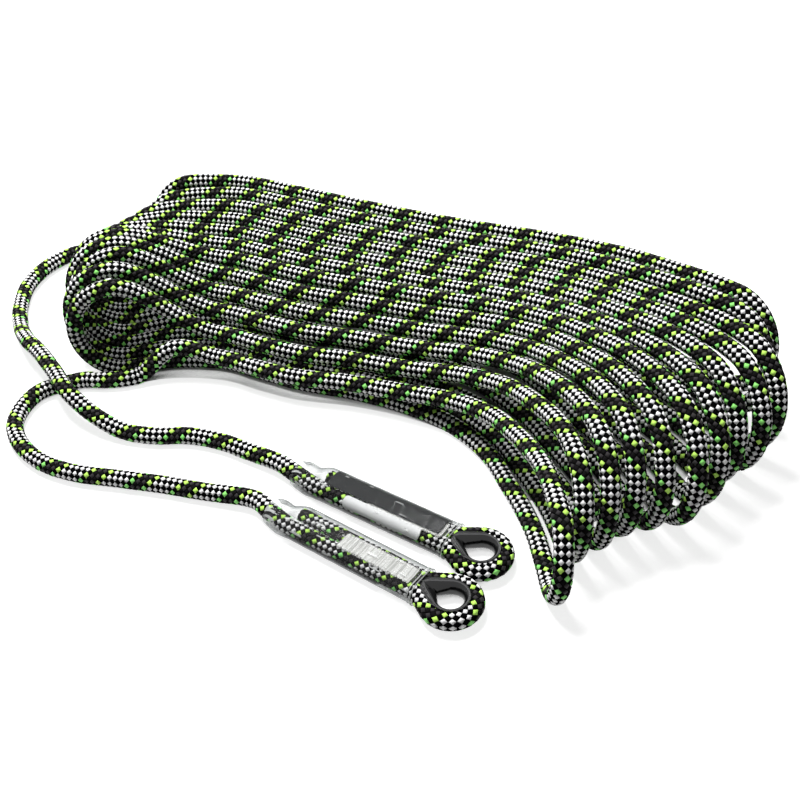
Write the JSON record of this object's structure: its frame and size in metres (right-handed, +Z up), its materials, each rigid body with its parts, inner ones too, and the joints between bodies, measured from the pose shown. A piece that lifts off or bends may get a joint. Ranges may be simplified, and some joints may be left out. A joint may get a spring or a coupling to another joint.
{
  "type": "static rope",
  "caption": "Low-stretch climbing rope gathered in a loose hank, with a sewn eye on a plastic thimble at each end, under clear shrunk sleeves.",
  "frame": {"origin": "middle of the bounding box, on the floor that the hank lies on", "axes": "+X along the hank towards its bent end, +Y from the sewn eyes to the back of the hank, +Z up from the floor"},
  "size_m": [0.5091, 0.4207, 0.0808],
  "materials": {
    "rope": "braided sheath in black, white and lime yarn",
    "thimble": "glossy black",
    "thread": "dense white lock stitching",
    "sleeve": "clear shrunk film",
    "tag": "black satin tape",
    "label": "plain white strip"
  },
  "bodies": {
    "root": {"hank": "rope", "rope_end_a": "rope", "rope_end_b": "rope", "thimble_a": "thimble", "thimble_b": "thimble", "stitching_a": "thread", "stitching_b": "thread", "sleeve_a": "sleeve", "sleeve_b": "sleeve", "tag_a": "tag", "tag_b": "tag", "label_a": "label"}
  },
  "joints": []
}
